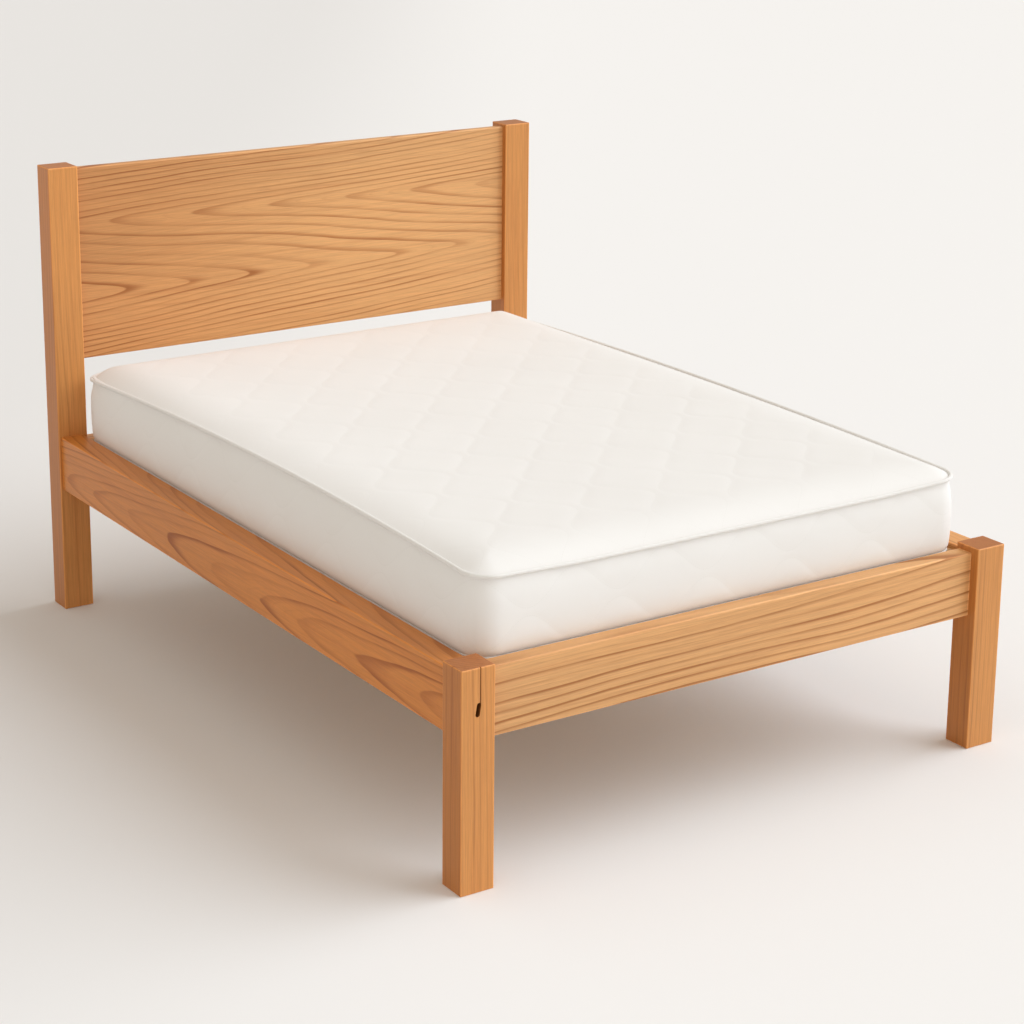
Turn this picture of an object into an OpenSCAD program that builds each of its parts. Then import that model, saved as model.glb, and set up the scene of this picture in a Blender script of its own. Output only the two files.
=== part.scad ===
// Double bed in solid timber with a piped mattress on a slatted base.
// Two tall head posts hold a solid head panel and a low head rail. Two short foot posts hold the foot rail.
// The side rails, foot rail and head rail are drawn to the posts by studs, half-moon washers and nuts in
// round pockets on their hidden faces, and are kept level by dowels.
// X runs across the bed, +Y towards the head and +Z up. The origin is on the floor under the bed's middle.

/* [Mattress] */
// Width of the mattress over its piping
mattress_w = 1400; // [1200:10:1800]
// Length of the mattress over its piping
mattress_l = 2000; // [1900:10:2100]
// Height of the border, from the underside to the top seam
border_h = 187; // [150:1:240]
// Rise of the crowned top above the top seam
crown_h = 38; // [20:1:60]
// Corner radius in plan
corner_r = 70; // [40:1:120]
// Radius of the piping cord
piping_r = 4; // [2:0.5:6]
// Thickness of the ticking with its wadding
ticking_t = 8; // [4:1:12]
// Thickness of the softer foam over the core
comfort_t = 40; // [20:1:60]

/* [Posts] */
// Width of each post across the bed
post_w = 85; // [80:1:110]
// Depth of each post along the bed
post_d = 75; // [70:1:100]
// Height of the head posts
head_post_h = 1250; // [1150:5:1400]
// Height of the foot posts
foot_post_h = 515; // [505:1:600]
// Radius of the eased edges of a post
post_ease = 3; // [1:0.5:6]

/* [Rails] */
// Height of the rail tops above the floor
rail_top = 500; // [470:1:500]
// Depth of the side rails
side_rail_h = 150; // [140:1:170]
// Thickness of the side rails
side_rail_t = 65; // [55:1:68]
// Depth of the foot rail
foot_rail_h = 160; // [140:1:180]
// Thickness of the foot rail
foot_rail_t = 44; // [40:1:48]
// Depth of the low head rail
head_rail_h = 120; // [110:1:130]
// Thickness of the low head rail
head_rail_t = 45; // [40:1:50]
// Set-back of the side rails from the outer faces of the posts
side_inset = 8; // [4:1:14]
// Set-back of the foot rail from the front faces of the foot posts
foot_inset = 24; // [18:1:26]
// Radius of the eased long edges of a rail
rail_ease = 3; // [1:0.5:6]

/* [Head panel] */
// Height of the head panel
panel_h = 532; // [400:1:560]
// Thickness of the head panel
panel_t = 25; // [18:1:35]
// Set-back of the panel from the front faces of the head posts
panel_inset = 18; // [8:1:25]
// Drop of the panel's top edge below the post tops
panel_drop = 8; // [4:1:40]
// Depth of the groove in each post that takes the panel's end
groove_depth = 15; // [8:1:20]
// Radius of the eased long edges of the panel
panel_ease = 5; // [2:0.5:8]

/* [Slatted base] */
// Number of slats
slat_count = 14; // [10:1:16]
// Width of a slat
slat_w = 95; // [70:1:100]
// Thickness of a slat
slat_t = 20; // [16:1:24]
// Drop of the slat tops below the rail tops
slat_drop = 15; // [10:1:30]
// Width of the ledger strip inside each side rail
ledger_w = 30; // [25:1:40]
// Depth of the ledger strip
ledger_h = 35; // [30:1:38]
// Width of the centre beam
beam_w = 60; // [40:1:80]
// Depth of the centre beam
beam_h = 90; // [70:1:92]
// Thickness of the beam bracket's steel
bracket_t = 2.5; // [2:0.5:4]

/* [Fixings] */
// Radius of the connecting studs
stud_r = 4; // [3:0.5:5]
// Radius of the dowels
dowel_r = 5; // [4:0.5:6]
// Length of a dowel
dowel_l = 60; // [40:2:64]
// Radius of the round pocket that hides a washer and nut
pocket_r = 17.5; // [16:0.5:20]
// Distance of the pocket's centre from the rail's end
pocket_reach = 65; // [60:1:80]

/* [Drying crack] */
// Length of the fine crack down from the top of the left foot post
crack_l = 85; // [40:1:120]
// Width of the fine crack
crack_w = 2.4; // [0.8:0.2:3]
// Height of the slanting slit that the crack ends in
slit_h = 32; // [20:1:40]

/* [Hidden] */

timber = "#c98a52";
timber_light = "#dcb283";
steel = "#b9bcc0";
ticking = "#eceae6";
foam = "#efe6c4";

fit = 0.2;            // clearance round a fixing in its hole
over = 1;             // how far a cutter runs past the face that it opens
side_gap = 2;         // between the mattress and each side rail
end_gap = 1;          // between the mattress and the head posts, and the foot rail
rest_gap = 0.3;       // between the mattress and the slats

clear_w = mattress_w + 2 * side_gap;
bed_w = clear_w + 2 * (side_rail_t + side_inset);
bed_l = mattress_l + 2 * end_gap + foot_rail_t + foot_inset + post_d;
half_w = bed_w / 2;
half_l = bed_l / 2;
post_in_x = half_w - post_w;                  // inner face of a post
post_in_y = half_l - post_d;                  // face of a post that a side rail meets
rail_in_x = clear_w / 2;                      // inner face of a side rail
rail_mid_x = rail_in_x + side_rail_t / 2;
foot_in_y = -half_l + foot_inset + foot_rail_t;
foot_mid_y = foot_in_y - foot_rail_t / 2;
head_mid_y = post_in_y + head_rail_t / 2;

slat_top = rail_top - slat_drop;
slat_under = slat_top - slat_t;
slat_end_gap = 3;                             // between an end slat and the faces of the posts
slat_half_l = rail_in_x - 1;
slat_edge = 2;                                // radius of a slat's long edges
slat_pitch = 2 * (post_in_y - slat_end_gap - slat_w / 2) / (slat_count - 1);
beam_bottom = slat_under - beam_h;
beam_end_gap = 1;                             // between the beam's end and the rail that carries it
beam_edge = 3;                                // radius of the beam's long edges
ledger_mid_z = slat_under - ledger_h / 2;
ledger_end_gap = 1;                           // between the ledger's end and the post
ledger_edge = 1.5;                            // radius of the ledger's long edges

panel_top = head_post_h - panel_drop;
panel_mid_z = panel_top - panel_h / 2;
panel_mid_y = post_in_y + panel_inset + panel_t / 2;

mattress_y = post_in_y - end_gap - mattress_l / 2;
mattress_z = slat_top + rest_gap;
seam_t = 1;                                   // thickness of the piping's sewn-in flange
bottom_seam = mattress_z + ticking_t;
top_seam = mattress_z + border_h;
skin_inset = 2 * piping_r;                    // the ticking lies this far inside the piping's outer line
foam_inset = skin_inset + ticking_t;
core_top = top_seam + seam_t / 2 - comfort_t;

insert_r = 6;
insert_l = 24;
dowel_edge = 25;                              // dowel to the nearest edge of its rail
stud_z = 405;                                 // height of every stud's axis
stud_spare = 7;                               // how far a stud runs past the centre of its pocket
stud_end_room = 10;                           // depth of the stud's hole past its insert
pocket_past = 10;                             // depth of a pocket past the middle of its rail
nut_l = 6.5;
nut_r = 7.5;
washer_flat = 8;                              // flat of the washer to the centre of its pocket
washer_l = 16;

// Radius and length of each kind of screw
ledger_screw = [2.5, 65];
slat_screw = [2, 40];
bracket_screw = [2.5, 35];

bracket_h = 70;
bracket_reach = 50;
bracket_flange = 25;
bracket_half = beam_w / 2 + 0.5;              // half the inside width of the saddle
bracket_screw_z = 15;                         // screws to the top and bottom of the bracket

crack_x = -half_w + 48;
crack_depth = 6;
slit_w = 11;
slit_depth = 16;
slit_lean = 9;

// Each place where a rail meets a post: the point on the post's face, the way the rail runs from it,
// which side its pocket opens to, its thickness, and its lowest and highest heights.
side_low = rail_top - side_rail_h;
foot_low = rail_top - foot_rail_h;
head_low = slat_top - head_rail_h;
function corner(x, y, turn, opens, t, low, high) = [x, y, turn, opens, t, low, high];
side_left_joints = [corner(-rail_mid_x, -post_in_y, 90, -1, side_rail_t, side_low, rail_top),
                    corner(-rail_mid_x, post_in_y, -90, 1, side_rail_t, side_low, rail_top)];
side_right_joints = [corner(rail_mid_x, -post_in_y, 90, 1, side_rail_t, side_low, rail_top),
                     corner(rail_mid_x, post_in_y, -90, -1, side_rail_t, side_low, rail_top)];
foot_joints = [corner(-post_in_x, foot_mid_y, 0, 1, foot_rail_t, foot_low, rail_top),
               corner(post_in_x, foot_mid_y, 180, -1, foot_rail_t, foot_low, rail_top)];
head_joints = [corner(-post_in_x, head_mid_y, 0, -1, head_rail_t, head_low, slat_top),
               corner(post_in_x, head_mid_y, 180, 1, head_rail_t, head_low, slat_top)];
all_joints = concat(side_left_joints, side_right_joints, foot_joints, head_joints);

function slat_name(i) = str("slat_", i < 10 ? "0" : "", i);
function slat_y(i) = post_in_y - slat_end_gap - slat_w / 2 - (i - 1) * slat_pitch;

// A rectangle with round corners, centred on its own middle.
module round_rect(w, h, r) {
    square([w - 2 * r, h], center = true);
    square([w, h - 2 * r], center = true);
    for (x = [-1, 1], y = [-1, 1]) translate([x * (w / 2 - r), y * (h / 2 - r)]) circle(r, $fn = 32);
}

module along_x(l) { rotate([90, 0, 90]) linear_extrude(l, center = true) children(); }
module along_y(l) { rotate([90, 0, 0]) linear_extrude(l, center = true) children(); }
module along_z(l) { linear_extrude(l, center = true) children(); }

// A block with every edge eased, standing on z = 0.
module eased_post(h) {
    translate([0, 0, h / 2]) intersection() {
        along_z(h) round_rect(post_w, post_d, post_ease);
        along_y(post_d) round_rect(post_w, h, post_ease);
        along_x(post_w) round_rect(post_d, h, post_ease);
    }
}

module at_corner(j) { translate([j[0], j[1], 0]) rotate([0, 0, j[2]]) children(); }
module rod(r, from, to) {
    translate([from, 0, 0]) rotate([0, 90, 0]) cylinder(r = r, h = to - from, $fn = 48);
}
module at_dowels(j) { for (z = [j[5] + dowel_edge, j[6] - dowel_edge]) translate([0, 0, z]) children(); }

// The holes that one corner's fixings need, in the post and in the rail.
module corner_holes(j) {
    at_corner(j) {
        at_dowels(j) rod(dowel_r + fit, -dowel_l / 2 - over, dowel_l / 2 + over);
        translate([0, 0, stud_z]) {
            rod(insert_r + fit, -insert_l - over, 0.01);
            rod(stud_r + over, -insert_l - stud_end_room, pocket_reach);
            translate([pocket_reach, 0, 0]) rotate([90, 0, 0])
                translate([0, 0, j[3] > 0 ? -j[4] / 2 - over : -pocket_past])
                    cylinder(r = pocket_r, h = j[4] / 2 + pocket_past + over, $fn = 64);
        }
    }
}

// A countersunk wood screw of a [radius, length], whose head lies level with z = 0 and whose point is down.
module screw(size, play = 0) {
    r = size[0] + play;
    head_r = 2 * size[0] + play;
    translate([0, 0, -size[1] - play]) cylinder(r = r, h = size[1] + play, $fn = 24);
    translate([0, 0, -r]) cylinder(r1 = r, r2 = head_r, h = r, $fn = 24);
}

module post_at(x, y, h) {
    translate([x * (half_w - post_w / 2), y * (half_l - post_d / 2), 0]) eased_post(h);
}

module head_post(side) {
    color(timber) difference() {
        post_at(side, 1, head_post_h);
        translate([side * (post_in_x + groove_depth / 2), panel_mid_y, panel_mid_z])
            cube([groove_depth, panel_t, panel_h], center = true);
        corner_holes(side < 0 ? side_left_joints[1] : side_right_joints[1]);
        corner_holes(side < 0 ? head_joints[0] : head_joints[1]);
    }
}

module foot_post(side) {
    color(timber) difference() {
        post_at(side, -1, foot_post_h);
        corner_holes(side < 0 ? side_left_joints[0] : side_right_joints[0]);
        corner_holes(side < 0 ? foot_joints[0] : foot_joints[1]);
        if (side < 0) drying_crack();
    }
}

// A fine crack down the front of the left foot post that ends in a short open slit.
module drying_crack() {
    translate([crack_x - crack_w / 2, -half_l - over, foot_post_h - crack_l])
        cube([crack_w, crack_depth + over, crack_l + over]);
    translate([crack_x - 3, -half_l - over, foot_post_h - crack_l + 6]) rotate([0, slit_lean, 0]) {
        translate([-slit_w / 2, 0, slit_w / 2 - slit_h]) cube([slit_w, slit_depth + over, slit_h - slit_w]);
        for (z = [slit_w / 2 - slit_h, -slit_w / 2])
            translate([0, 0, z]) rotate([-90, 0, 0])
                cylinder(r = slit_w / 2, h = slit_depth + over, $fn = 24);
    }
}

module head_panel() {
    color(timber) translate([0, panel_mid_y, panel_mid_z])
        along_x(2 * (post_in_x + groove_depth)) round_rect(panel_t, panel_h, panel_ease);
}

module head_rail() {
    color(timber) difference() {
        translate([0, head_mid_y, head_low + head_rail_h / 2])
            along_x(2 * post_in_x) round_rect(head_rail_t, head_rail_h, rail_ease);
        for (j = head_joints) corner_holes(j);
        bracket_screw_places(1) screw(bracket_screw, fit);
    }
}

module foot_rail() {
    color(timber) difference() {
        translate([0, foot_mid_y, foot_low + foot_rail_h / 2])
            along_x(2 * post_in_x) round_rect(foot_rail_t, foot_rail_h, rail_ease);
        for (j = foot_joints) corner_holes(j);
        bracket_screw_places(-1) screw(bracket_screw, fit);
    }
}

module side_rail(side) {
    color(timber) difference() {
        translate([side * rail_mid_x, 0, side_low + side_rail_h / 2])
            along_y(2 * post_in_y) round_rect(side_rail_t, side_rail_h, rail_ease);
        for (j = side < 0 ? side_left_joints : side_right_joints) corner_holes(j);
        ledger_screw_places(side) screw(ledger_screw, fit);
    }
}

// A ledger screw sits in every second space between slats.
module ledger_screw_places(side) {
    for (i = [1 : 2 : slat_count - 1])
        translate([side * (rail_in_x - ledger_w), (slat_y(i) + slat_y(i + 1)) / 2, ledger_mid_z])
            rotate([0, -90 * side, 0]) children();
}

module slat_screw_places(i) {
    for (x = [-1, 1]) translate([x * (rail_in_x - ledger_w / 2), slat_y(i), slat_top]) children();
}

module ledger(side) {
    color(timber_light) difference() {
        translate([side * (rail_in_x - ledger_w / 2), 0, ledger_mid_z])
            along_y(2 * (post_in_y - ledger_end_gap)) round_rect(ledger_w, ledger_h, ledger_edge);
        ledger_screw_places(side) screw(ledger_screw, fit);
        for (i = [1 : slat_count]) slat_screw_places(i) screw(slat_screw, fit);
    }
}

module slat(i) {
    color(timber_light) difference() {
        translate([0, slat_y(i), slat_top - slat_t / 2])
            along_x(2 * slat_half_l) round_rect(slat_w, slat_t, slat_edge);
        slat_screw_places(i) screw(slat_screw, fit);
    }
}

module centre_beam() {
    color(timber_light) translate([0, (post_in_y + foot_in_y) / 2, slat_under - beam_h / 2])
        along_y(post_in_y - foot_in_y - 2 * beam_end_gap) round_rect(beam_w, beam_h, beam_edge);
}

// The face of the rail that carries the beam's end: 1 is the head rail and -1 the foot rail.
function bearer_y(end) = end > 0 ? post_in_y : foot_in_y;

module bracket_screw_places(end) {
    for (x = [-1, 1], z = [bracket_screw_z, bracket_h - bracket_screw_z])
        translate([x * (bracket_half + bracket_t + bracket_flange / 2), bearer_y(end) - end * bracket_t,
                   beam_bottom - bracket_t + z])
            rotate([90 * end, 0, 0]) children();
}

// A folded steel saddle screwed to the rail, in which the beam's end rests.
module beam_bracket(end) {
    outer = bracket_half + bracket_t;
    color(steel) difference() {
        translate([0, bearer_y(end), beam_bottom - bracket_t]) mirror([0, end > 0 ? 1 : 0, 0]) {
            translate([-outer, 0, 0]) cube([2 * outer, bracket_reach, bracket_t]);
            for (x = [-outer, bracket_half]) translate([x, 0, 0]) cube([bracket_t, bracket_reach, bracket_h]);
            for (x = [-outer - bracket_flange, bracket_half])
                translate([x, 0, 0]) cube([bracket_flange + bracket_t, bracket_t, bracket_h]);
        }
        bracket_screw_places(end) screw(bracket_screw, fit);
    }
}

module dowels() {
    color(timber_light) for (j = all_joints)
        at_corner(j) at_dowels(j) rod(dowel_r, -dowel_l / 2, dowel_l / 2);
}

module post_inserts() {
    color(steel) for (j = all_joints) at_corner(j) translate([0, 0, stud_z]) difference() {
        rod(insert_r, -insert_l, -0.5);
        rod(stud_r + fit, -insert_l - over, over);
    }
}

module connector_studs() {
    color(steel) for (j = all_joints) at_corner(j) translate([0, 0, stud_z])
        rod(stud_r, -insert_l, pocket_reach + stud_spare);
}

// The round back of the washer seats in the round pocket, and the nut bears on its flat.
module half_moon_washers() {
    color(steel) for (j = all_joints) at_corner(j) translate([0, 0, stud_z]) difference() {
        translate([pocket_reach, 0, 0]) intersection() {
            rotate([90, 0, 0]) cylinder(r = pocket_r - fit, h = washer_l, center = true, $fn = 64);
            translate([-pocket_r, -washer_l / 2, -pocket_r])
                cube([pocket_r - washer_flat, washer_l, 2 * pocket_r]);
        }
        rod(stud_r + fit, 0, pocket_reach);
    }
}

module connector_nuts() {
    color(steel) for (j = all_joints) at_corner(j) translate([pocket_reach - washer_flat, 0, stud_z])
        difference() {
            rotate([0, 90, 0]) cylinder(r = nut_r, h = nut_l, $fn = 6);
            rod(stud_r + fit, -over, nut_l + over);
        }
}

module ledger_screws() { color(steel) for (side = [-1, 1]) ledger_screw_places(side) screw(ledger_screw); }
module slat_screws() { color(steel) for (i = [1 : slat_count]) slat_screw_places(i) screw(slat_screw); }
module bracket_screws() { color(steel) for (end = [-1, 1]) bracket_screw_places(end) screw(bracket_screw); }

// The mattress outline, drawn in by the given inset.
module mattress_outline(inset) {
    translate([0, mattress_y])
        round_rect(mattress_w - 2 * inset, mattress_l - 2 * inset, max(corner_r - inset, 15));
}

module mattress_slab(inset, low, high) {
    translate([0, 0, low]) linear_extrude(high - low) mattress_outline(inset);
}

module mattress_core() { color(foam) mattress_slab(foam_inset, bottom_seam - seam_t / 2, core_top); }
module mattress_comfort_foam() { color(foam) mattress_slab(foam_inset, core_top, top_seam + seam_t / 2); }

module mattress_border() {
    color(ticking) difference() {
        mattress_slab(skin_inset, bottom_seam + seam_t / 2, top_seam - seam_t / 2);
        mattress_slab(foam_inset, bottom_seam, top_seam);
    }
}

module mattress_bottom_panel() {
    color(ticking) mattress_slab(skin_inset, mattress_z, bottom_seam - seam_t / 2);
}

// The quilted top panel rises from its seam over a broad round shoulder.
module mattress_top_panel() {
    shoulder = 110;
    steps = 6;
    layer = 0.5;
    base = top_seam + seam_t / 2;
    rise = crown_h - seam_t / 2 - layer;
    color(ticking) hull() for (i = [0 : steps]) {
        a = 90 * i / steps;
        translate([0, 0, base + rise * sin(a)]) linear_extrude(layer)
            mattress_outline(skin_inset + shoulder * (1 - cos(a)));
    }
}

// A cord in a closed loop round the mattress, with the flange that is sewn into the seam.
module piping(seam) {
    r = corner_r - piping_r;
    half_x = mattress_w / 2 - corner_r;
    half_y = mattress_l / 2 - corner_r;
    color(ticking) {
        translate([0, mattress_y, seam]) {
            for (turn = [0, 90, 180, 270])
                translate([(turn == 0 || turn == 270) ? half_x : -half_x, turn < 180 ? half_y : -half_y, 0])
                    rotate([0, 0, turn]) rotate_extrude(angle = 90, $fn = 96)
                        translate([r, 0]) circle(piping_r, $fn = 24);
            for (x = [-1, 1]) translate([x * (half_x + r), 0, 0]) rotate([90, 0, 0])
                cylinder(r = piping_r, h = 2 * half_y, center = true, $fn = 24);
            for (y = [-1, 1]) translate([0, y * (half_y + r), 0]) rotate([0, 90, 0])
                cylinder(r = piping_r, h = 2 * half_x, center = true, $fn = 24);
        }
        difference() {
            mattress_slab(piping_r, seam - seam_t / 2, seam + seam_t / 2);
            mattress_slab(foam_inset, seam - seam_t, seam + seam_t);
        }
    }
}

head_post(-1);  // head_post_left
head_post(1);  // head_post_right
foot_post(-1);  // foot_post_left
foot_post(1);  // foot_post_right
head_panel();
head_rail();
foot_rail();
side_rail(-1);  // side_rail_left
side_rail(1);  // side_rail_right
ledger(-1);  // ledger_left
ledger(1);  // ledger_right
centre_beam();
beam_bracket(1);  // beam_bracket_head
beam_bracket(-1);  // beam_bracket_foot
for (i = [1 : slat_count]) slat(i);
dowels();
post_inserts();
connector_studs();
half_moon_washers();
connector_nuts();
ledger_screws();
slat_screws();
bracket_screws();
mattress_core();
mattress_comfort_foam();
mattress_border();
mattress_bottom_panel();
mattress_top_panel();
piping(top_seam);  // mattress_piping_top
piping(bottom_seam);  // mattress_piping_bottom
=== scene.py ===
# Double bed in solid timber, with a piped and quilted mattress on a slatted base.
import math

import bmesh
import bpy
import numpy as np
from mathutils import Matrix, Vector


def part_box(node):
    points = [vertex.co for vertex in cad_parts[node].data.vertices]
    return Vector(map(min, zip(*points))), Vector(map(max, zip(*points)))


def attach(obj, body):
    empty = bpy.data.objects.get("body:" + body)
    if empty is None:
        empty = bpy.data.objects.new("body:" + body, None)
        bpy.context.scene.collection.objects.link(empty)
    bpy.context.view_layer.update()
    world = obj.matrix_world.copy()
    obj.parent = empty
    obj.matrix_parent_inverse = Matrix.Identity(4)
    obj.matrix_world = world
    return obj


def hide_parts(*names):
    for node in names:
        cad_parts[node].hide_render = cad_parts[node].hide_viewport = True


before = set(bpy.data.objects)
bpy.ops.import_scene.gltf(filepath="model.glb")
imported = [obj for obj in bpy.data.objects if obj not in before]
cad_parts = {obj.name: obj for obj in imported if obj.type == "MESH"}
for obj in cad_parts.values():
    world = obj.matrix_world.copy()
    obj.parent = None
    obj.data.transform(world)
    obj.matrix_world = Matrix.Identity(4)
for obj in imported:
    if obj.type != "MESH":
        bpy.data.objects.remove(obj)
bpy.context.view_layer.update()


# --- The room: a pale matt floor, painted darker towards the left as painted shade for the light's fall-off, and a bright wall far off all round.
# One large soft light comes from the right, and a weak warm one fills from the left. The camera stands to
# the left of the foot end, at standing height, and looks down on the bed.
def shaped(name, verts, faces):
    """A new object made of points and faces, shaded smooth."""
    mesh = bpy.data.meshes.new(name)
    mesh.from_pydata([tuple(v) for v in verts], [], [tuple(f) for f in faces])
    mesh.update()
    mesh.polygons.foreach_set("use_smooth", [True] * len(mesh.polygons))
    piece = bpy.data.objects.new(name, mesh)
    bpy.context.collection.objects.link(piece)
    return piece


def node(tree, kind, inputs=None, **settings):
    """Adds one shader node. Its inputs are given as values or as the sockets that feed them."""
    made = tree.nodes.new("ShaderNode" + kind)
    for key, value in settings.items():
        setattr(made, key, value)
    for key, value in (inputs or {}).items():
        if isinstance(value, bpy.types.NodeSocket):
            tree.links.new(value, made.inputs[key])
        else:
            made.inputs[key].default_value = value
    return made


def finish_of(name, even):
    """A new material. even holds the numbers and colours that are the same all over it."""
    material = bpy.data.materials.new(name)
    material.use_nodes = True
    tree = material.node_tree
    shader = tree.nodes["Principled BSDF"]
    for socket, value in even.items():
        shader.inputs[socket].default_value = value
    return material, tree, shader


def step(tree, value, low, high, to_low=0.0, to_high=1.0):
    """A smooth step from to_low to to_high, as the value goes from low to high."""
    return node(tree, "MapRange", {"Value": value, "From Min": low, "From Max": high, "To Min": to_low,
                                   "To Max": to_high}, interpolation_type="SMOOTHSTEP").outputs["Result"]


def blend_of(tree, share, first, second, mode="MIX"):
    """Two colours mixed. A Mix node takes the share in input 0, and its colours in inputs 6 and 7."""
    mixed = node(tree, "Mix", {0: share, 6: first, 7: second}, data_type="RGBA", blend_type=mode)
    return mixed.outputs[2]


floor_half = 45.0
corners = ((-1, -1), (1, -1), (1, 1), (-1, 1))
floor = shaped("studio_floor", [(x * floor_half, y * floor_half, 0) for x, y in corners], [(0, 1, 2, 3)])
floor_paint, tree, shader = finish_of("studio_floor", {"Roughness": 0.9, "Specular IOR Level": 0.1})
at = node(tree, "TexCoord").outputs["Object"]
rightward = (0.833, -0.554, 0.0)
across_room = node(tree, "VectorMath", {0: at, 1: rightward}, operation="DOT_PRODUCT").outputs["Value"]
# The floor's colour darkens towards the left: painted shade that stands in for the fall-off of the light.
painted_falloff = step(tree, across_room, -1.9, 0.3)
paper_with_painted_falloff = blend_of(tree, painted_falloff, (0.765, 0.76, 0.755, 1), (0.87, 0.87, 0.87, 1))
tree.links.new(paper_with_painted_falloff, shader.inputs["Base Color"])
floor.data.materials.append(floor_paint)

wall_r, wall_h, wall_sides = 44.0, 60.0, 96
turns = [2 * math.pi * n / wall_sides for n in range(wall_sides)]
ring = [(wall_r * math.cos(turn), wall_r * math.sin(turn)) for turn in turns]
wall = shaped("studio_wall", [(x, y, z) for z in (0, wall_h) for x, y in ring],
              [(n, n + wall_sides, (n + 1) % wall_sides + wall_sides, (n + 1) % wall_sides)
               for n in range(wall_sides)])
wall_paint, tree, shader = finish_of("studio_wall", {
    "Base Color": (0.0, 0.0, 0.0, 1), "Specular IOR Level": 0.0,
    "Emission Color": (0.92, 0.90, 0.86, 1), "Emission Strength": 1.0})
wall.data.materials.append(wall_paint)
wall.visible_diffuse = False
wall.visible_glossy = False
wall.visible_shadow = False

world = bpy.data.worlds.new("studio")
world.use_nodes = True
bpy.context.scene.world = world
world.node_tree.nodes["Background"].inputs["Color"].default_value = (1.0, 0.91, 0.80, 1)
world.node_tree.nodes["Background"].inputs["Strength"].default_value = 0.58

for name, towards, strength, width, colour in (
        ("key", (3.6, -1.6, 3.0), 2.32, 60, (0.92, 0.985, 1.06)),
        ("fill", (-3.0, -2.4, 2.2), 0.44, 110, (1.0, 0.91, 0.80))):
    light = bpy.data.lights.new(name, "SUN")
    light.energy = strength
    light.angle = math.radians(width)
    light.color = colour
    lamp = bpy.data.objects.new(name, light)
    bpy.context.collection.objects.link(lamp)
    lamp.location = towards
    lamp.rotation_euler = lamp.location.to_track_quat("Z", "Y").to_euler()

lens = bpy.data.cameras.new("camera")
lens.lens = 86.6
lens.shift_y = -0.127
camera = bpy.data.objects.new("camera", lens)
bpy.context.collection.objects.link(camera)
yaw, pitch, roll = math.radians(33.63), math.radians(-15.13), math.radians(0.56)
camera.matrix_world = (Matrix.Translation((-3.337, -5.103, 2.430)) @ Matrix.Rotation(-yaw, 4, "Z")
                       @ Matrix.Rotation(math.pi / 2 + pitch, 4, "X") @ Matrix.Rotation(roll, 4, "Z"))
bpy.context.scene.camera = camera
bpy.context.scene.view_settings.view_transform = "Standard"


# --- Posts: two tall head posts and two short foot posts, square, of solid timber under oil. The grain runs
# up them, every edge is eased, and they are bored for the rails' fixings. The left foot post has a fine
# drying crack down from its top.
def calc(tree, operation, *terms):
    return node(tree, "Math", dict(enumerate(terms)), operation=operation).outputs[0]


def ripple(tree, at, scale, detail=2.0, rough=0.5):
    """Noise in the range 0 to 1, at a vector of coordinates."""
    return node(tree, "TexNoise", {"Vector": at, "Scale": scale, "Detail": detail, "Roughness": rough})


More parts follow.
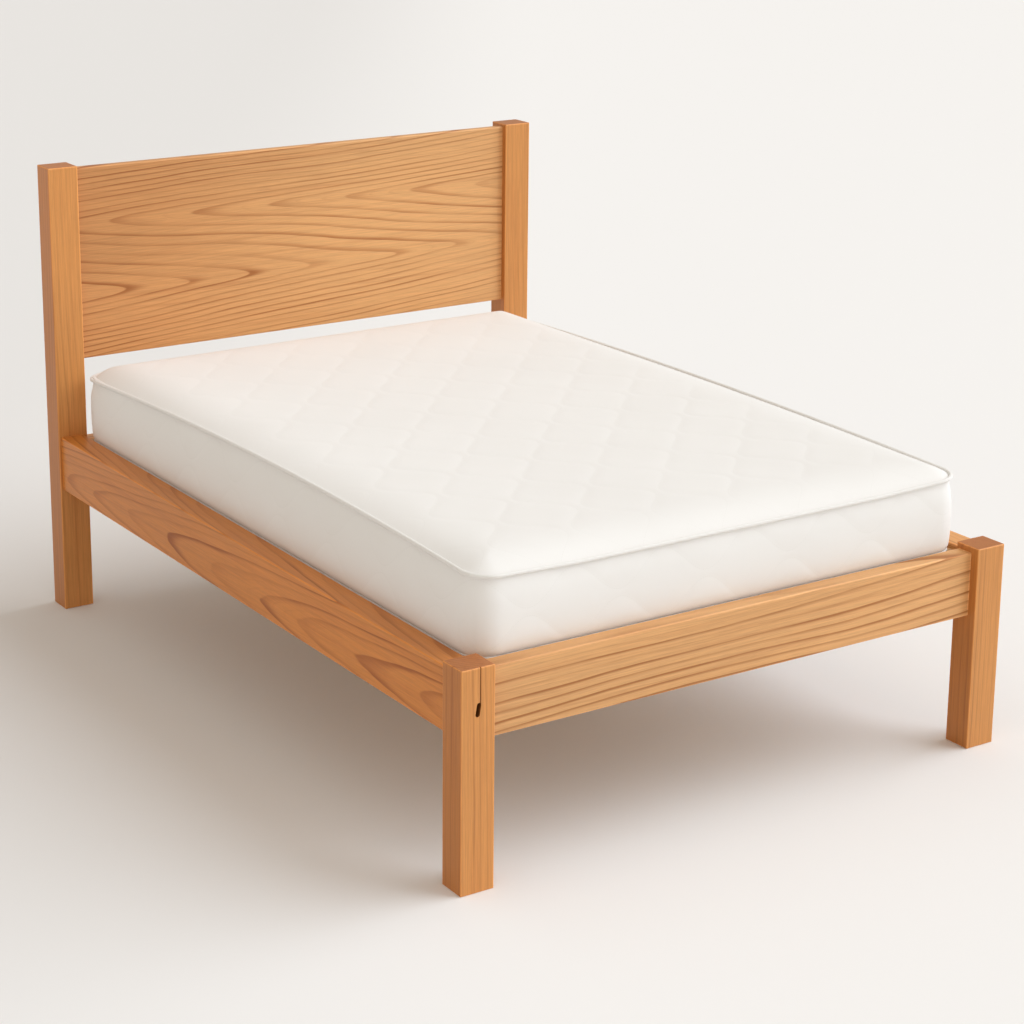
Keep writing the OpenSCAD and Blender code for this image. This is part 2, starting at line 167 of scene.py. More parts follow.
def timber(cad, grain, hearts, drift=0.0, lean=0.0, waver=0.006, swell=0.8, seed=0.0,
           early=(0.70, 0.365, 0.140), late=(0.43, 0.165, 0.045), line=0.55, polish=0.42,
           painted_shade_side=(1.0, 1.0, 1.0), low_end_tone_and_shade=(1.0, 1.0, 1.0)):
    """Solid timber cut from a log. Its growth rings are levels of distance from one or more hearts.

    grain is the axis that the fibres follow: 0, 1 or 2. Each heart is (across, deep, rings per metre),
    measured from the block's middle over its width and its thickness. drift is how many rings the cut
    crosses in a metre of length, and lean in a metre of its width. waver sets how far the rings wander to
    the side, in metres, and swell how unevenly they are spaced. early and late are the two colours in a
    ring, and line is how dark the late wood gets. The tint for one narrow side is painted shade: it darkens
    the side that faces the low end of its across axis, the side that stands in shade. The tint for the low
    end darkens the board's low end, fading out along its length; it is partly the board's own tone and
    partly painted shade for the light's fall-off.
    """
    low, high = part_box(cad)
    middle, half = (low + high) / 2, (high - low) / 2
    deep, across = sorted((axis for axis in range(3) if axis != grain), key=lambda axis: half[axis])
    material, tree, shader = finish_of(cad, {
        "Specular IOR Level": 0.38, "Coat Weight": 0.08, "Coat Roughness": 0.35})
    surface = node(tree, "TexCoord").outputs
    local = node(tree, "VectorMath", {0: surface["Object"], 1: middle}, operation="SUBTRACT").outputs[0]
    axes = node(tree, "SeparateXYZ", {0: local}).outputs
    along = axes[grain]

    def stretched(length, width, offset):
        """The block's coordinates for noise that is drawn out along the grain."""
        scale = [width] * 3
        scale[grain] = length
        start = (seed + offset,) * 3
        return node(tree, "Mapping", {"Vector": local, "Scale": scale, "Location": start}).outputs[0]

    # The log's slow bends and its smaller waves shift the rings sideways, and the years weren't all alike.
    bend = ripple(tree, stretched(0.9, 4.0, 0.0), 1.0, 1.0)
    wave = ripple(tree, stretched(4.0, 18.0, 7.0), 1.0, 2.0)
    shift = node(tree, "SeparateColor", {0: bend.outputs["Color"]}).outputs
    small = node(tree, "SeparateColor", {0: wave.outputs["Color"]}).outputs
    sides = []
    for n, axis in enumerate((across, deep)):
        slow = calc(tree, "MULTIPLY_ADD", shift[n], waver * 5, -waver * 2.5)
        quick = calc(tree, "MULTIPLY_ADD", small[n], waver, -waver * 0.5)
        sides.append(calc(tree, "ADD", axes[axis], calc(tree, "ADD", slow, quick)))
    rings = calc(tree, "MULTIPLY_ADD", along, -drift, calc(tree, "MULTIPLY", sides[0], lean))
    rings = calc(tree, "MULTIPLY_ADD", shift[2], swell * 4, rings)
    for heart_across, heart_deep, per_metre in hearts:
        off_across = calc(tree, "SUBTRACT", sides[0], heart_across)
        off_deep = calc(tree, "SUBTRACT", sides[1], heart_deep)
        squares = calc(tree, "ADD", calc(tree, "MULTIPLY", off_across, off_across),
                       calc(tree, "MULTIPLY", off_deep, off_deep))
        rings = calc(tree, "MULTIPLY_ADD", calc(tree, "SQRT", squares), per_metre, rings)

    # Each ring is wide pale early wood that deepens to a thin dark line of late wood. Some years and some
    # patches of the board are bolder than others, and faint hairlines run between the rings.
    rings = calc(tree, "ADD", rings, seed * 1.7)
    phase = calc(tree, "FRACT", rings)
    ramp = calc(tree, "MULTIPLY", step(tree, phase, 0.58, 0.92), step(tree, phase, 0.94, 1.0, 1.0, 0.0))
    year = calc(tree, "FLOOR", rings)
    lot = node(tree, "TexWhiteNoise", {"W": year}, noise_dimensions="1D").outputs["Value"]
    patch = ripple(tree, stretched(2.2, 14.0, 21.0), 1.0, 2.0).outputs["Fac"]
    bold = calc(tree, "MULTIPLY", calc(tree, "MULTIPLY_ADD", lot, 0.95, 0.30),
                step(tree, patch, 0.30, 0.66, 0.30, 1.0))
    dark = calc(tree, "MULTIPLY", calc(tree, "MULTIPLY", ramp, bold), line)
    within = calc(tree, "FRACT", calc(tree, "MULTIPLY", rings, 3.0))
    hairline = calc(tree, "MULTIPLY", step(tree, within, 0.70, 0.95),
                    step(tree, patch, 0.35, 0.60, 0.12 * line, 0.03))
    dark = calc(tree, "ADD", dark, hairline)

    # Fibres, fine pores and a slow change of tone run along the board.
    fibre = ripple(tree, stretched(9.0, 420.0, 3.0), 1.0, 3.0, 0.65).outputs["Fac"]
    streak = ripple(tree, stretched(1.6, 75.0, 11.0), 1.0, 2.0).outputs["Fac"]
    pore = ripple(tree, stretched(30.0, 1500.0, 5.0), 1.0, 1.0).outputs["Fac"]
    tone = ripple(tree, stretched(0.8, 3.5, 31.0), 1.0, 1.0).outputs["Fac"]
    colour = blend_of(tree, calc(tree, "MINIMUM", dark, 1.0), (*early, 1), (*late, 1))
    streaked = step(tree, streak, 0.45, 0.80, 0.0, 0.35)
    colour = blend_of(tree, streaked, colour, (0.72, 0.56, 0.44, 1), "MULTIPLY")
    tone_and_painted_light = calc(tree, "ADD", step(tree, fibre, 0.25, 0.75, 0.89, 1.09),
                 step(tree, tone, 0.3, 0.7, -0.07, 0.07))
    tone_and_painted_light = calc(tree, "MULTIPLY", tone_and_painted_light, step(tree, pore, 0.60, 0.72, 1.0, 0.90))

    # One narrow side may take a painted shade, and the low end is deepened, partly as the board's own tone
    # and partly as painted shade for the light's fall-off. The ends show darker end grain.
    low_end_tone_and_shade_share = step(tree, along, -half[grain], half[grain] * 0.4, 1.0, 0.0)
    colour = blend_of(tree, low_end_tone_and_shade_share, colour, (*low_end_tone_and_shade, 1), "MULTIPLY")
    facing = node(tree, "SeparateXYZ", {0: surface["Normal"]}).outputs
    painted_shade_side_mask = step(tree, facing[across], -0.98, -0.70, 1.0, 0.0)
    colour = blend_of(tree, painted_shade_side_mask, colour, (*painted_shade_side, 1), "MULTIPLY")
    end = step(tree, calc(tree, "ABSOLUTE", facing[grain]), 0.75, 0.95)
    colour = blend_of(tree, end, colour, (0.66, 0.52, 0.44, 1), "MULTIPLY")

    # The eased edges are painted paler, a painted highlight along them, and the cuts and bored holes are
    # painted dark inside, painted shade in the hollows.
    near = [calc(tree, "SUBTRACT", half[axis], calc(tree, "ABSOLUTE", axes[axis])) for axis in range(3)]
    least = calc(tree, "MINIMUM", near[0], near[1])
    most = calc(tree, "MAXIMUM", near[0], near[1])
    second = calc(tree, "MAXIMUM", least, calc(tree, "MINIMUM", most, near[2]))
    edge = step(tree, second, 0.0015, 0.0050, 1.0, 0.0)
    painted_hollow_shade = step(tree, calc(tree, "MINIMUM", least, near[2]), 0.0005, 0.0040)
    tone_and_painted_light = calc(tree, "MULTIPLY", tone_and_painted_light, calc(tree, "MULTIPLY_ADD", edge, 0.22, 1.0))
    tone_and_painted_light = calc(tree, "MULTIPLY", tone_and_painted_light, calc(tree, "MULTIPLY_ADD", painted_hollow_shade, -0.68, 1.0))
    grey = node(tree, "CombineColor", {0: tone_and_painted_light, 1: tone_and_painted_light, 2: tone_and_painted_light}).outputs[0]
    colour = blend_of(tree, 1.0, colour, grey, "MULTIPLY")
    tree.links.new(colour, shader.inputs["Base Color"])

    gloss = calc(tree, "MULTIPLY_ADD", fibre, 0.12, polish - 0.06)
    tree.links.new(calc(tree, "MULTIPLY_ADD", dark, 0.10, gloss), shader.inputs["Roughness"])
    relief = calc(tree, "MULTIPLY_ADD", dark, -0.6, calc(tree, "MULTIPLY_ADD", pore, -0.35, fibre))
    bump = node(tree, "Bump", {"Height": relief, "Strength": 0.25, "Distance": 0.0004})
    tree.links.new(bump.outputs[0], shader.inputs["Normal"])
    return material


def finished(cad, material):
    """Gives a CAD piece its material in every slot."""
    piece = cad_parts[cad]
    if not piece.data.materials:
        piece.data.materials.append(None)
    for n in range(len(piece.data.materials)):
        piece.data.materials[n] = material
    return piece


post_rings = 92.0
for cad, heart, seed in (("head_post_left", (0.13, 0.15), 2.0), ("head_post_right", (0.14, 0.12), 5.0),
                         ("foot_post_left", (0.16, 0.13), 9.0), ("foot_post_right", (0.15, 0.10), 13.0)):
    # The tint on one narrow side of each post is painted shade: it darkens the side that stands away from
    # the light.
    cut = timber(cad, 2, [(*heart, post_rings)], drift=1.2, waver=0.004, swell=0.3, seed=seed, line=0.45,
                 early=(0.655, 0.285, 0.080), late=(0.36, 0.120, 0.032), painted_shade_side=(0.80, 0.68, 0.54))
    finished(cad, cut)


# --- Head panel: one wide board of the same timber, plain-sawn, so its rings show as two sets of nested
# arches. It is oiled like the posts, and its ends are held in grooves down the head posts' inner faces.
arches = [(0.115, -0.026, 52.0), (-0.083, -0.026, -49.0)]
# Its left end is darkened, fading out along the board: partly the board's own tone, partly painted shade for
# the light's fall-off.
cut = timber("head_panel", 0, arches, drift=4.6, lean=66.0, waver=0.008, swell=0.6, seed=4.6, line=1.0,
             early=(0.72, 0.385, 0.155), low_end_tone_and_shade=(0.86, 0.74, 0.64))
finished("head_panel", cut)


# --- Rails: four deep boards on edge, oiled, that tie the posts together: one along each side and one
# across each end. Two dowels keep each end of a rail level, and a stud and nut draw it up to its post.
for cad, grain, heart, drift, seed, line, early, late in (
        ("foot_rail", 0, (-0.22, 0.05, 44.0), 1.0, 3.4, 1.2, (0.72, 0.385, 0.155), (0.42, 0.165, 0.045)),
        # The left side rail's colours are darker and deeper than the right one's: painted shade, for the
        # mattress's shade that falls on it.
        ("side_rail_left", 1, (-0.026, 0.048, 84.0), -4.0, 6.0, 0.9,
         (0.61, 0.220, 0.040), (0.35, 0.095, 0.015)),
        ("side_rail_right", 1, (-0.020, -0.060, 90.0), 3.5, 8.0, 0.9,
         (0.70, 0.335, 0.115), (0.40, 0.145, 0.035)),
        ("head_rail", 0, (0.20, 0.05, 62.0), 1.0, 15.0, 0.8, (0.70, 0.355, 0.130), (0.42, 0.165, 0.045))):
    cut = timber(cad, grain, [heart], drift=drift, waver=0.007, seed=seed, line=line,
                 early=early, late=late)
    finished(cad, cut)


# --- Ledgers and centre beam: plain pale timber, planed and left dry, that carries the slats. A ledger is
# screwed along the inside of each side rail, and the beam rests at each end in a steel saddle.
base_early = (0.66, 0.42, 0.22)
base_late = (0.46, 0.24, 0.10)
base_polish = 0.6
for cad, seed in (("ledger_left", 14.3), ("ledger_right", 15.6), ("centre_beam", 14.3)):
    cut = timber(cad, 1, [(0.03, 0.12, 80.0)], drift=2.0, seed=seed, early=base_early, late=base_late,
                 polish=base_polish)
    finished(cad, cut)


# --- Slats: fourteen planed boards of pale softwood laid across the bed, with gaps that let the mattress
# breathe. Each one is screwed down to the ledgers at both ends.
for n in range(14):
    cad = f"slat_{n + 1:02d}"
    heart = ((-0.03, 0.02, -0.06)[n % 3], (-0.05, 0.04)[n % 2], 160.0)
    cut = timber(cad, 0, [heart], drift=(3.0, -4.0, 1.5)[n % 3], seed=20.0 + n * 1.3, line=0.6,
                 early=base_early, late=base_late, polish=base_polish)
    finished(cad, cut)


# --- Dowels: sixteen beech pegs, two at each end of each rail, pushed into holes in the rail and the post.
# They sit wholly inside the joints, and keep the rail level while the stud pulls it tight.
beech, tree, shader = finish_of("dowel_beech", {"Roughness": 0.6})
at = node(tree, "TexCoord").outputs["Object"]
fleck = ripple(tree, at, 900.0, 2.0).outputs["Fac"]
colour = blend_of(tree, step(tree, fleck, 0.45, 0.70), (0.66, 0.44, 0.27, 1), (0.50, 0.30, 0.17, 1))
tree.links.new(colour, shader.inputs["Base Color"])
finished("dowels", beech)


# --- Fittings: zinc-plated steel. Inserts threaded into the posts take the studs, and half-moon washers and
# nuts pull the rails up from round pockets. Wood screws hold the ledgers, the slats and the beam's saddles.
zinc, tree, shader = finish_of("zinc_steel", {"Metallic": 1.0})
at = node(tree, "TexCoord").outputs["Object"]
cloud = ripple(tree, at, 120.0, 3.0).outputs["Fac"]
colour = blend_of(tree, cloud, (0.56, 0.57, 0.58, 1), (0.70, 0.71, 0.72, 1))
tree.links.new(colour, shader.inputs["Base Color"])
tree.links.new(step(tree, cloud, 0.3, 0.7, 0.28, 0.42), shader.inputs["Roughness"])
for cad in ("post_inserts", "connector_studs", "half_moon_washers", "connector_nuts", "ledger_screws",
            "slat_screws", "bracket_screws", "beam_bracket_head", "beam_bracket_foot"):
    finished(cad, zinc)


# --- Quilted top: knitted ticking quilted to wadding in lengthwise waves, and sewn to the border at the
# piping. The filling crowns it over a broad round shoulder. Along the long sides it lifts the seam and draws
# it in.
piping_low, piping_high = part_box("mattress_piping_top")
border_low, border_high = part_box("mattress_border")
panel_low, panel_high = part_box("mattress_top_panel")
centre_y = (piping_low.y + piping_high.y) / 2
half_w = piping_high.x
half_l = (piping_high.y - piping_low.y) / 2
seam_z = (piping_low.z + piping_high.z) / 2
crown_z = panel_high.z - 0.002
skin_inset = piping_high.x - border_high.x
corner_r = 0.070
shoulder = 0.140
cell = 0.010
seam_lift, seam_sink = 0.022, 0.002
side_pull = 0.012
wave_length = 0.240
top_pitch, top_swing = 0.110, 0.042
top_puff = 0.0009
top_channel = 0.0002


def smooth(value, low, high):
    t = np.clip((value - low) / (high - low), 0, 1)
    return t * t * (3 - 2 * t)


def fullness(y):
    """How full the mattress stands at a place along its length: 1 is the fullest."""
    return 1 - (y + 0.15) ** 2


def seam_rise(x, y):
    return seam_lift * fullness(y) * smooth(np.abs(x), 0.40, 0.68) - seam_sink


def draw_in(y):
    return side_pull * np.clip(fullness(y), 0, 1)


def edge_gap(x, y):
    """Distance in plan from the edge of the ticking, whose corners are rounded."""
    past_x = np.abs(x) - (half_w - corner_r)
    past_y = np.abs(y - centre_y) - (half_l - corner_r)
    outside = np.hypot(np.maximum(past_x, 0), np.maximum(past_y, 0))
    inside = np.minimum(np.maximum(past_x, past_y), 0)
    return corner_r - skin_inset - (outside + inside)


def stitch_gap(across, along, pitch, swing):
    """Distance to the nearest of the quilting lines, which wave along and mirror each other."""
    column = np.round(across / pitch)
    nearest = np.full(np.shape(across), 1.0)
    slope = 2 * math.pi * swing / wave_length * np.cos(2 * math.pi * along / wave_length)
    for step_over in (-1, 0, 1):
        k = column + step_over
        line = k * pitch + np.where(k % 2 == 0, swing, -swing) * np.sin(2 * math.pi * along / wave_length)
        nearest = np.minimum(nearest, np.abs(across - line) / np.sqrt(1 + slope ** 2))
    return nearest


def channel(gap, depth):
    """How far the quilting thread draws the cloth down, at that distance from its line."""
    return -depth * np.exp(-(gap / 0.0060) ** 2)


def points_of(piece):
    co = np.zeros(len(piece.data.vertices) * 3)
    piece.data.vertices.foreach_get("co", co)
    return co.reshape(-1, 3)


def move_points(piece, co):
    piece.data.vertices.foreach_set("co", co.astype(np.float32).ravel())
    piece.data.update()


def settled(piece):
    """Applies the piece's modifiers, so that what they made is its mesh."""
    evaluated = piece.evaluated_get(bpy.context.evaluated_depsgraph_get())
    mesh = bpy.data.meshes.new_from_object(evaluated)
    piece.modifiers.clear()
    piece.data = mesh
    return piece


def puffed(piece, held, cap):
    """Blows the sheet out from the stitches that hold it, by cloth simulation, by no more than cap."""
    start = points_of(piece)
    stitches = piece.vertex_groups.new(name="stitches")
    stitches.add([int(n) for n in np.nonzero(held)[0]], 1.0, "REPLACE")
    cloth = piece.modifiers.new("cloth", "CLOTH")
    cloth.settings.quality = 4
    cloth.settings.mass = 0.3
    cloth.settings.tension_stiffness = 8
    cloth.settings.compression_stiffness = 8
    cloth.settings.shear_stiffness = 3
    cloth.settings.bending_stiffness = 0.4
    cloth.settings.vertex_group_mass = "stitches"
    cloth.settings.use_pressure = True
    cloth.settings.uniform_pressure_force = 0.6
    cloth.settings.effector_weights.gravity = 0
    cloth.collision_settings.use_collision = False
    cloth.point_cache.frame_start = 1
    cloth.point_cache.frame_end = 20
    for frame_no in range(1, 21):
        bpy.context.scene.frame_set(frame_no)
    settled(piece)
    bpy.context.scene.frame_set(1)
    moved = points_of(piece) - start
    length = np.linalg.norm(moved, axis=1)
    move_points(piece, start + moved * np.minimum(1, cap / np.maximum(length, 1e-9))[:, None])
    piece.vertex_groups.clear()


def finer(piece):
    subdivision = piece.modifiers.new("finer", "SUBSURF")
    subdivision.levels = subdivision.render_levels = 1
    settled(piece)


def drop_to_base(piece, base):
    """Closes an open sheet: its rim goes straight down to the base, and a flat face joins the rim."""
    shape = bmesh.new()
    shape.from_mesh(piece.data)
    rim_edges = [edge for edge in shape.edges if edge.is_boundary]
    made = bmesh.ops.extrude_edge_only(shape, edges=rim_edges)["geom"]
    for vert in (item for item in made if isinstance(item, bmesh.types.BMVert)):
        vert.co.z = base
    low_edges = [item for item in made if isinstance(item, bmesh.types.BMEdge)]
    flat_faces = bmesh.ops.contextual_create(shape, geom=low_edges)["faces"]
    bmesh.ops.recalc_face_normals(shape, faces=shape.faces)
    for face in flat_faces:
        face.smooth = False
    shape.to_mesh(piece.data)
    shape.free()


def ticking(name, coordinates="Object", pitch=None, swing=0.0, offset=0.0):
    """Knitted ticking: a fine rib, a soft unevenness of tone and, with a pitch, the quilting thread."""
    material, tree, shader = finish_of(name, {
        "Roughness": 0.82, "Sheen Weight": 0.12, "Sheen Roughness": 0.5})
    at = node(tree, "TexCoord").outputs
    rib = node(tree, "TexWave", {"Vector": at["Object"], "Scale": 260.0, "Distortion": 1.5}).outputs["Fac"]
    slub = ripple(tree, at["Object"], 55.0, 3.0).outputs["Fac"]
    tone = ripple(tree, at["Object"], 4.0, 2.0).outputs["Fac"]
    colour = blend_of(tree, tone, (0.815, 0.805, 0.785, 1), (0.855, 0.848, 0.832, 1))
    height = calc(tree, "MULTIPLY_ADD", rib, 0.5, slub)
    if pitch:
        way = node(tree, "SeparateXYZ", {0: at[coordinates]}).outputs
        across, along = (way[1], way[0]) if coordinates == "UV" else (way[0], way[1])
        row = calc(tree, "ROUND", calc(tree, "DIVIDE", calc(tree, "ADD", across, offset), pitch))
        odd = calc(tree, "ABSOLUTE", calc(tree, "MODULO", row, 2.0))
        side = calc(tree, "MULTIPLY_ADD", odd, -2.0 * swing, swing)
        bend = calc(tree, "SINE", calc(tree, "MULTIPLY", along, 2 * math.pi / wave_length))
        line = calc(tree, "MULTIPLY_ADD", row, pitch, calc(tree, "MULTIPLY", side, bend))
        off_line = calc(tree, "ABSOLUTE", calc(tree, "SUBTRACT", calc(tree, "ADD", across, offset), line))
        stitch = calc(tree, "FRACT", calc(tree, "DIVIDE", along, 0.006))
        dash = calc(tree, "MULTIPLY", step(tree, stitch, 0.12, 0.22),
                    step(tree, stitch, 0.78, 0.88, 1.0, 0.0))
        thread_on = calc(tree, "MULTIPLY", dash, step(tree, off_line, 0.0006, 0.0012, 1.0, 0.0))
        colour = blend_of(tree, calc(tree, "MULTIPLY", thread_on, 0.25), colour, (0.70, 0.69, 0.67, 1))
    tree.links.new(colour, shader.inputs["Base Color"])
    bump = node(tree, "Bump", {"Height": height, "Strength": 0.12, "Distance": 0.0006})
    tree.links.new(bump.outputs[0], shader.inputs["Normal"])
    return material


# A square grid is pressed into the rounded outline, and each of its points is raised to the crown's height.
cells_x = round(2 * (half_w - skin_inset) / cell)
cells_y = round(2 * (half_l - skin_inset) / cell)
across = np.linspace(-1, 1, cells_x + 1) * (half_w - skin_inset)
along = np.linspace(-1, 1, cells_y + 1) * (half_l - skin_inset)
x, y = (g.ravel() for g in np.meshgrid(across, along, indexing="ij"))
arc = corner_r - skin_inset
u = np.maximum(np.abs(x) - (half_w - corner_r), 0) / arc
v = np.maximum(np.abs(y) - (half_l - corner_r), 0) / arc
flat_x = np.sign(x) * (np.minimum(np.abs(x), half_w - corner_r) + arc * u * np.sqrt(1 - v * v / 2))
flat_y = np.sign(y) * (np.minimum(np.abs(y), half_l - corner_r) + arc * v * np.sqrt(1 - u * u / 2))
flat_y = flat_y + centre_y
flat_gap = np.maximum(edge_gap(flat_x, flat_y), 0)
seam = seam_z + seam_rise(flat_x, flat_y)
z = seam + (crown_z - seam) * (1 - (1 - np.minimum(flat_gap / shoulder, 1)) ** 3)
near_side = (1 - smooth(flat_gap, 0.0, 0.30)) * smooth(np.abs(flat_x), 0.2, 0.69)
x = flat_x - np.sign(flat_x) * draw_in(flat_y) * near_side
cells = np.arange((cells_x + 1) * (cells_y + 1)).reshape(cells_x + 1, cells_y + 1)
faces = np.stack([cells[:-1, :-1], cells[1:, :-1], cells[1:, 1:], cells[:-1, 1:]], -1).reshape(-1, 4)
top_panel = shaped("quilted_top", np.stack([x, flat_y, z], 1), faces)
rim = np.ones_like(cells, bool)
rim[1:-1, 1:-1] = False
sewn_down = (stitch_gap(x, flat_y, top_pitch, top_swing) < 0.55 * cell) & (flat_gap > 0.03)
puffed(top_panel, rim.ravel() | sewn_down, top_puff)
finer(top_panel)
co = points_of(top_panel)
relief = channel(stitch_gap(co[:, 0], co[:, 1], top_pitch, top_swing), top_channel)
co[:, 2] += relief * smooth(edge_gap(co[:, 0], co[:, 1]), 0.012, 0.045)
move_points(top_panel, co)
drop_to_base(top_panel, panel_low.z)
top_panel.data.materials.append(ticking("quilted_ticking", "Object", top_pitch, top_swing))
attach(top_panel, "mattress")
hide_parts("mattress_top_panel")


# --- Border: a band of the same ticking that goes round all four sides, from the lower seam to the upper
# one. It is quilted in one pair of mirrored waves, and the filling swells it out between the seams.
base_low, base_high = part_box("mattress_piping_bottom")
base_z = (base_low.z + base_high.z) / 2
foam_inset = piping_high.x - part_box("mattress_core")[1].x
side_swell = 0.0088
border_pitch, border_swing = 0.090, 0.036
border_puff = 0.0016
border_channel = 0.0003


def outline(inset):
    """Plan points round the mattress, their outward normals, and the distance run, all anticlockwise.

    The inset is from the outer line of the piping, and every piece of the mattress is cut to this outline.
    """
    flat_x, flat_y = half_w - corner_r, half_l - corner_r
    points, normals = [], []
    steps_x, steps_y = round(2 * flat_x / cell), round(2 * flat_y / cell)
    steps_arc = round(corner_r * math.pi / 2 / cell)
    for turn in range(4):
        angle = turn * math.pi / 2
        steps = steps_y if turn % 2 == 0 else steps_x
        reach, travel = (half_w, flat_y) if turn % 2 == 0 else (half_l, flat_x)
        out = np.array((math.cos(angle), math.sin(angle)))
        ahead = np.array((-math.sin(angle), math.cos(angle)))
        for n in range(steps):
            points.append(out * (reach - inset) + ahead * travel * (2 * n / steps - 1))
            normals.append(out)
        for n in range(steps_arc):
            bend = angle + n / steps_arc * math.pi / 2
            way = np.array((math.cos(bend), math.sin(bend)))
            points.append(out * (reach - corner_r) + ahead * travel + way * (corner_r - inset))
            normals.append(way)
    points, normals = np.array(points), np.array(normals)
    run = np.concatenate(([0], np.cumsum(np.linalg.norm(np.diff(points, axis=0), axis=1))))
    return points + (0, centre_y), normals, run


def border_gap(up, run):
    """Distance to the nearest quilting line, at a height over the border's middle and a run round it."""
    return stitch_gap(up + border_pitch / 2, run, border_pitch, border_swing)


rows = round((seam_z - base_z) / cell)
plan, normal, run = outline(skin_inset)
around = len(plan)
level = np.linspace(0, 1, rows + 1)[None, :]
px, py = plan[:, :1], plan[:, 1:]
top_z = seam_z + seam_rise(px, py)
swell = side_swell * np.sin(math.pi * level) ** 0.3 * smooth(1 - level, 0.0, 0.30)
out = swell - np.abs(normal[:, :1]) * draw_in(py) * level ** 1.5
verts = np.stack([px + normal[:, :1] * out, py + normal[:, 1:] * out,
                  border_low.z + level * (top_z - 0.0005 - border_low.z)], -1)
cells = np.arange(around * (rows + 1)).reshape(around, rows + 1)
ahead = np.roll(cells, -1, axis=0)
faces = np.stack([cells[:, :-1], ahead[:, :-1], ahead[:, 1:], cells[:, 1:]], -1).reshape(-1, 4)
border = shaped("border", verts.reshape(-1, 3), faces)
cut_round = np.repeat(run, rows + 1)
cut_up = np.tile((level[0] - 0.5) * (seam_z - base_z), around)
pattern = border.data.uv_layers.new(name="pattern")
for loop in border.data.loops:
    pattern.data[loop.index].uv = (cut_round[loop.vertex_index], cut_up[loop.vertex_index])
seams = np.tile(np.arange(rows + 1) % rows == 0, around)
puffed(border, seams | (border_gap(cut_up, cut_round) < 0.5 * cell), border_puff)
finer(border)

gaps = np.zeros(len(border.data.vertices))
uses = np.zeros(len(border.data.vertices))
for loop, mark in zip(border.data.loops, border.data.uv_layers["pattern"].data):
    gaps[loop.vertex_index] += border_gap(mark.uv[1], mark.uv[0])
    uses[loop.vertex_index] += 1
facing = np.zeros(len(border.data.vertices) * 3)
border.data.vertices.foreach_get("normal", facing)
facing = facing.reshape(-1, 3)
relief = channel(gaps / uses, border_channel) * np.hypot(facing[:, 0], facing[:, 1])
move_points(border, points_of(border) + facing * relief[:, None])
thickness = border.modifiers.new("thickness", "SOLIDIFY")
thickness.thickness = foam_inset - skin_inset
thickness.offset = -1
settled(border)
border.data.materials.append(ticking("border_ticking", "UV", border_pitch, border_swing, border_pitch / 2))
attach(border, "mattress")
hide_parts("mattress_border")


# --- Underside: plain ticking without quilting, sewn to the border at the lower piping. It lies on the
# slats, and the weight above eases it down a little between them.
slat_low, slat_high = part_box("slat_01")
slat_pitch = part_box("slat_02")[0].y - slat_low.y
slat_middle = (slat_low.y + slat_high.y) / 2
under_low, under_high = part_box("mattress_bottom_panel")
pressed = 0.5 + 0.5 * np.cos(2 * math.pi * (flat_y - slat_middle) / slat_pitch)
z = under_low.z + 0.0008 * pressed * smooth(flat_gap, 0.0, 0.05)
cells = np.arange((cells_x + 1) * (cells_y + 1)).reshape(cells_x + 1, cells_y + 1)
faces = np.stack([cells[:-1, :-1], cells[:-1, 1:], cells[1:, 1:], cells[1:, :-1]], -1).reshape(-1, 4)
inner = (half_w - foam_inset) / (half_w - skin_inset)
verts = np.stack([flat_x * inner, centre_y + (flat_y - centre_y) * inner, z], 1)
underside = shaped("underside", verts, faces)
drop_to_base(underside, under_high.z)
underside.data.materials.append(ticking("underside_ticking"))
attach(underside, "mattress")
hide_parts("mattress_bottom_panel")


# --- Piping: a cord in a bias-cut cover of woven tape, folded round it and caught in each seam. The top
# cord is plump and follows the lifted seam. The bottom one is tucked in under the side.
cord_r = (piping_high.z - piping_low.z) / 2
cord_sides = 12
plump = 1.25
tuck = 0.005

piping_tape, tree, shader = finish_of("piping_tape", {"Roughness": 0.80, "Sheen Weight": 0.10})
at = node(tree, "TexCoord").outputs["Object"]
twill = node(tree, "TexWave", {"Vector": at, "Scale": 320.0, "Distortion": 0.6}, bands_direction="DIAGONAL")
faint = ripple(tree, at, 40.0, 2.0).outputs["Fac"]
tape = blend_of(tree, faint, (0.80, 0.79, 0.765, 1), (0.84, 0.83, 0.81, 1))
tree.links.new(tape, shader.inputs["Base Color"])
bump = node(tree, "Bump", {"Height": twill.outputs["Fac"], "Strength": 0.30, "Distance": 0.0003})
tree.links.new(bump.outputs[0], shader.inputs["Normal"])


def piping(name, cad, plan, height, radius):
    """A closed cord round the mattress, through the points of the plan at those heights."""
    turn = np.arange(cord_sides) / cord_sides * 2 * math.pi
    reach = radius * np.cos(turn)[None, :]
    verts = np.stack([plan[:, :1] + outward[:, :1] * reach, plan[:, 1:] + outward[:, 1:] * reach,
                      height[:, None] + radius * np.sin(turn)[None, :]], -1)
    cells = np.arange(len(plan) * cord_sides).reshape(len(plan), cord_sides)
    ahead, beside = np.roll(cells, -1, axis=0), np.roll(cells, -1, axis=1)
    both = np.roll(ahead, -1, axis=1)
    cord = shaped(name, verts.reshape(-1, 3), np.stack([cells, ahead, both, beside], -1).reshape(-1, 4))
    cord.data.materials.append(piping_tape)
    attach(cord, "mattress")
    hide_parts(cad)


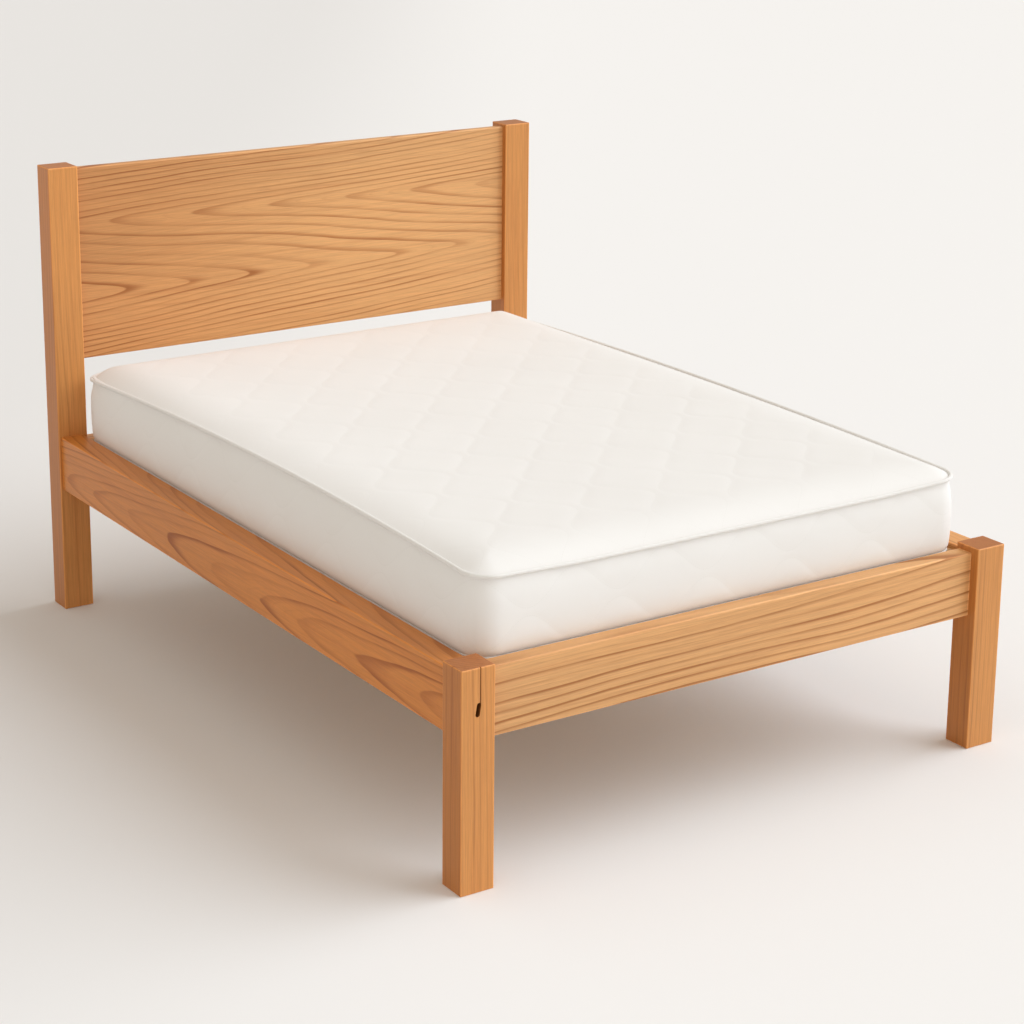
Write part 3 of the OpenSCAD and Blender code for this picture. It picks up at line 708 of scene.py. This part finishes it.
seam_line, outward = outline(cord_r)[:2]
px, py = seam_line.T
drawn_line = seam_line - outward * (np.abs(outward[:, 0]) * draw_in(py))[:, None]
piping("piping_top", "mattress_piping_top", drawn_line, seam_z + seam_rise(px, py) + 0.001, cord_r * plump)
piping("piping_bottom", "mattress_piping_bottom", seam_line - outward * tuck,
       np.full(len(seam_line), base_z - 0.001), cord_r)


# --- Foams: a firm core slab cut from block foam, and a softer comfort layer bonded on top of it. They fill
# the covers, which hide them both, and their cut edges are slightly rounded.
def foam_slab(name, cad, colour, pores_per_metre):
    low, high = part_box(cad)
    ease = 0.004
    inset = half_w - high.x
    turn = np.linspace(0, math.pi / 2, 4)
    sections = ([(inset + ease * (1 - math.sin(t)), low.z + ease * (1 - math.cos(t))) for t in turn]
                + [(inset + ease * (1 - math.cos(t)), high.z - ease * (1 - math.sin(t))) for t in turn])
    verts = []
    for set_in, z in sections:
        plan = outline(set_in)[0]
        verts.append(np.column_stack([plan, np.full(len(plan), z)]))
    count = len(verts[0])
    cells = np.arange(count * len(verts)).reshape(len(verts), count)
    ahead = np.roll(cells, -1, axis=1)
    sides = np.stack([cells[:-1], ahead[:-1], ahead[1:], cells[1:]], -1).reshape(-1, 4)
    slab = shaped(name, np.concatenate(verts), [*sides, cells[-1], cells[0][::-1]])
    for face in slab.data.polygons[-2:]:
        face.use_smooth = False
    foam, tree, shader = finish_of(name, {"Roughness": 0.9})
    at = node(tree, "TexCoord").outputs["Object"]
    pores = node(tree, "TexVoronoi", {"Vector": at, "Scale": pores_per_metre}).outputs["Distance"]
    tone = ripple(tree, at, 6.0, 2.0).outputs["Fac"]
    pale = tuple(min(1.0, value * 1.08) for value in colour)
    tree.links.new(blend_of(tree, tone, (*colour, 1), (*pale, 1)), shader.inputs["Base Color"])
    bump = node(tree, "Bump", {"Height": pores, "Strength": 0.5, "Distance": 0.0006})
    tree.links.new(bump.outputs[0], shader.inputs["Normal"])
    slab.data.materials.append(foam)
    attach(slab, "mattress")
    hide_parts(cad)
    return slab


foam_slab("foam_core", "mattress_core", (0.80, 0.74, 0.52), 700.0)
foam_slab("foam_comfort", "mattress_comfort_foam", (0.78, 0.80, 0.80), 900.0)
